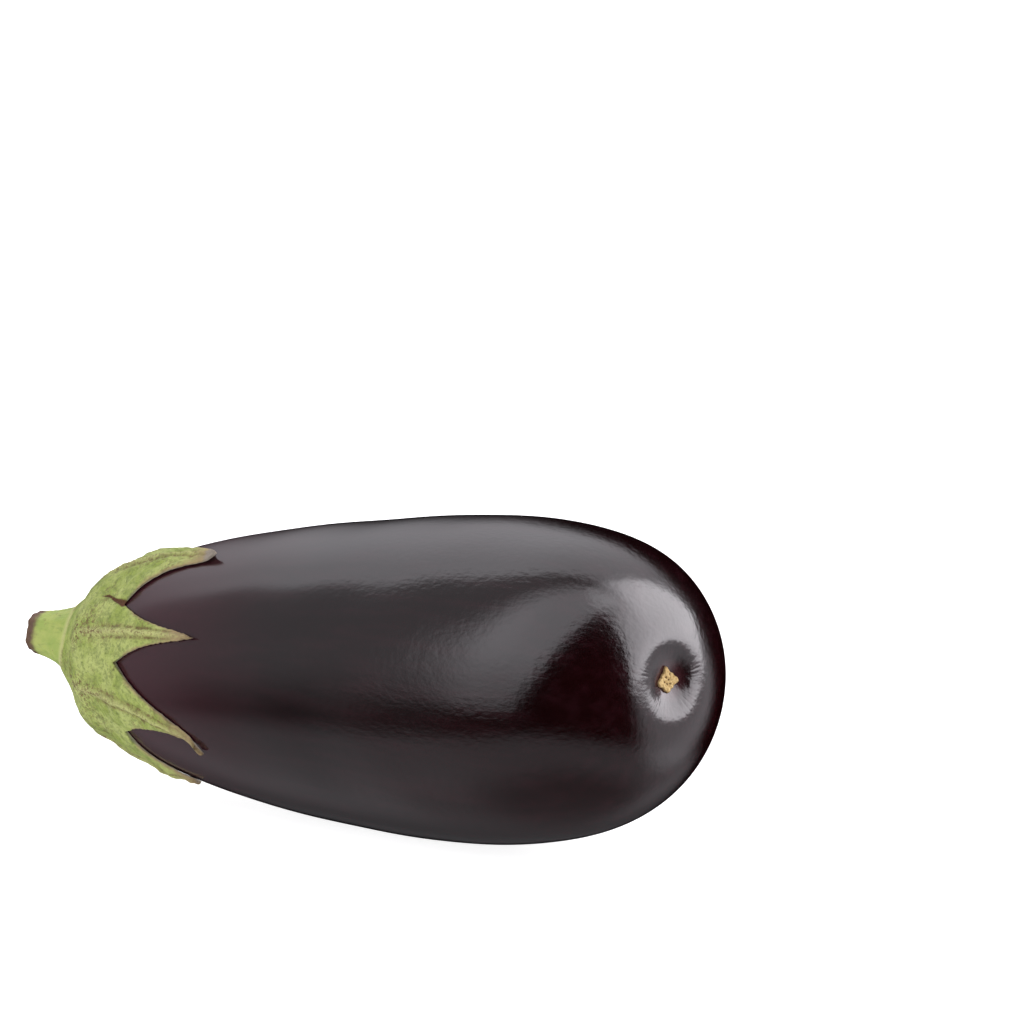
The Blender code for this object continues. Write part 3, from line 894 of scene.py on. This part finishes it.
def sheet_surface(out, angle):
    """A round sheet: flat to SHEET_FLAT, then climbing along a circle to SHEET_CLIMB degrees."""
    flat = np.minimum(out, 1) * SHEET_FLAT
    climb = np.clip(out - 1, 0, 1) * np.radians(SHEET_CLIMB)
    radius = flat + SHEET_RADIUS * np.sin(climb)
    height = SHEET_RADIUS * (1 - np.cos(climb))
    angle = np.radians(angle)
    return np.stack([radius * np.cos(angle), radius * np.sin(angle), height + 0 * angle], axis=-1)


out = np.linspace(0, 2, SHEET_ROWS)[:, None]
angle = (np.arange(SHEET_COLUMNS) * 360 / SHEET_COLUMNS)[None, :]
out, angle = np.broadcast_arrays(out, angle)
mesh = bpy.data.meshes.new("floor")
mesh.from_pydata(sheet_surface(out, angle).reshape(-1, 3), [], quads(*out.shape))
mesh.shade_smooth()
floor = bpy.data.objects.new("floor", mesh)
bpy.context.scene.collection.objects.link(floor)
floor.visible_glossy = False
floor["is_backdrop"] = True


def floor_paint(graph):
    """Two nearly equal greys, matt, which glow in the same shade."""
    shade = graph.mix(graph.noise(0.6, 2), SHEET_GREY, SHEET_WHITE)
    return {
        "Base Color": shade,
        "Roughness": 1.0,
        "Specular IOR Level": 0.0,
        "Emission Color": shade,
        "Emission Strength": SHEET_GLOW,
    }


finish_of(floor, "pale_sheet", floor_paint)

# %% [markdown]
# ## Light
# Gloss is drawn by what surrounds it, so the studio is painted on the world: a big softbox off
# the blossom end with a dim apron under it, a tall dimmer panel on the left, a pale wall behind,
# a faint card past the stem, the glow of the table below, and between them the dark room, which
# makes the deep red wedge on the fruit. Each panel is cut out by planes through the object: the
# dot product of the direction and a plane's normal says how far inside it lies. A plane that
# starts further from the object gives a round patch instead. One lamp in the same place as the
# softbox models the leaf; it doesn't show in the gloss.

# %% Light the object
SOFTBOX_AZIMUTH, SOFTBOX_ELEVATION, SOFTBOX_RADIANCE = 117.0, 29.0, 4.7
SOFTBOX_CORNERS = (
    (31, -26), (31, -10), (30, 40), (13, 52), (-10, 33), (-36, 3), (-35, -10), (-16, -28),
)
LAMP_DISTANCE, LAMP_SPREAD, LAMP_RADIANCE = 2.4, 22.0, 1.4
PANEL_RADIANCE, WALL_RADIANCE, CARD_RADIANCE = 1.90, 1.70, 0.50
TABLE_RADIANCE, APRON_RADIANCE = 0.42, 1.05
UP, WALL, PANEL_EDGE = (0.0, 0.0, 1.0), (-0.245, 0.968, 0.041), (-0.800, 0.060, 0.597)
DIM_TINT, SOFTBOX_TINT = (0.985, 0.97, 1.03), (1.01, 0.98, 1.03)


def towards(azimuth, elevation):
    """Unit vector; azimuth 0 points along -Y and 90 along +X, elevation is above the floor."""
    a, e = np.radians(azimuth), np.radians(elevation)
    return Vector((np.sin(a) * np.cos(e), -np.cos(a) * np.cos(e), np.sin(e)))


def softbox_planes():
    """Normals of the planes through the object and two neighbouring corners of the softbox,
    which is a polygon in front of the object; corners are degrees across and up from its centre."""
    ahead = towards(SOFTBOX_AZIMUTH, SOFTBOX_ELEVATION)
    across = ahead.cross(Vector(UP)).normalized()
    rise = across.cross(ahead)
    corners = [ahead + across * np.tan(np.radians(x)) + rise * np.tan(np.radians(y))
               for x, y in SOFTBOX_CORNERS]
    pairs = zip(corners, corners[1:] + corners[:1])
    normals = [one.cross(other).normalized() for one, other in pairs]
    return [normal if normal.dot(ahead) > 0 else -normal for normal in normals]


middle = Vector(-SEAT)
lamp_side = 2 * LAMP_DISTANCE * np.tan(np.radians(LAMP_SPREAD))
softbox = bpy.data.lights.new("softbox", "AREA")
softbox.shape = "SQUARE"
softbox.size = lamp_side
softbox.energy = LAMP_RADIANCE * np.pi * lamp_side**2
lamp = bpy.data.objects.new("softbox", softbox)
lamp.location = middle + LAMP_DISTANCE * towards(SOFTBOX_AZIMUTH, SOFTBOX_ELEVATION)
lamp.rotation_euler = (lamp.location - middle).to_track_quat("Z", "Y").to_euler()
lamp.visible_camera = False
lamp.visible_glossy = False
bpy.context.scene.collection.objects.link(lamp)
print("lamp:", round(lamp_side, 2), "m square,", round(softbox.energy), "W")


def world_light(graph):
    """Radiance of the painted studio for each direction, and the softbox's share of it."""
    way = graph.node("TexCoord", out="Generated")

    def beyond(plane, low, high):
        """0 where the direction's share along the plane's normal is below `low`, 1 above `high`."""
        inside = graph.node("VectorMath", {0: way, 1: tuple(plane)}, out="Value",
                            operation="DOT_PRODUCT")
        return inside.step(low, high)

    box = 0.25 + beyond(towards(128, 15), 0.50, 0.92) * 0.75
    for plane in softbox_planes():
        box = box * beyond(plane, -0.05, 0.03)
    panel = (1 - beyond(WALL, -0.10, 0.00)) * beyond(PANEL_EDGE, -0.07, 0.07)
    panel = panel * beyond(UP, -0.34, -0.14) * beyond(towards(42, 0), 0.00, 0.34)
    panel = panel * (0.55 + beyond(UP, -0.15, 0.45) * 0.45)
    wall = beyond(WALL, 0.00, 0.12) * beyond(UP, -0.05, 1.00)
    wall = wall * (1 - beyond(towards(-176, 8), 0.80, 0.90))
    apron = beyond(towards(122, -9), 0.76, 0.97)
    card = beyond(towards(-85, 30), 0.30, 0.80) * (1 - beyond(WALL, 0.00, 0.30))
    table = (1 - beyond(UP, -0.58, -0.40)) * (0.42 + beyond(UP, -0.96, -0.72) * 0.58)
    table = table * (1 - beyond(towards(-145, -20), 0.60, 0.92) * 0.75)
    dim = panel * PANEL_RADIANCE + wall * WALL_RADIANCE + card * CARD_RADIANCE
    dim = dim + table * TABLE_RADIANCE + apron * APRON_RADIANCE
    return dim + box * SOFTBOX_RADIANCE, box


world = bpy.data.worlds.new("studio")
bpy.context.scene.world = world
world.use_nodes = True
graph = Graph(world.node_tree)
strength, box = world_light(graph)
tint = graph.mix(box, DIM_TINT, SOFTBOX_TINT)
glow = graph.node("Background", {"Color": tint, "Strength": strength})
graph.node("OutputWorld", {"Surface": glow})
bpy.context.scene.view_settings.view_transform = "Standard"
print("world:", len(graph.tree.nodes), "nodes")

# %% [markdown]
# ## Camera
# A long lens a metre away, eleven degrees above the table, looks past the blossom end.

# %% Set the camera
CAMERA_AZIMUTH, CAMERA_ELEVATION, CAMERA_DISTANCE = 35.23, 11.0, 1.0
CAMERA_LENS = 120.6
AIM_RIGHT, AIM_UP = 0.0360, 0.0460
back = towards(CAMERA_AZIMUTH, CAMERA_ELEVATION)
right = Vector(UP).cross(back).normalized()
aim = middle + AIM_RIGHT * right + AIM_UP * back.cross(right)
camera = bpy.data.objects.new("camera", bpy.data.cameras.new("camera"))
camera.location = middle + CAMERA_DISTANCE * back
camera.rotation_euler = (camera.location - aim).to_track_quat("Z", "Y").to_euler()
camera.data.lens = CAMERA_LENS
bpy.context.scene.collection.objects.link(camera)
bpy.context.scene.camera = camera
print("camera at", [round(c, 3) for c in camera.location])

# %% [markdown]
# ## Check and finish
# The built box is set against the design's, and the difference at each corner is printed in mm.
# The looks may not grow out of the design's box.

# %% Finish
built_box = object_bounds()
for end, corners in zip(("low", "high"), zip(design_box, built_box)):
    grown = [round(1000 * (built - design), 2) for design, built in zip(*corners)]
    print("built box against the design,", end, "corner in mm:", grown)
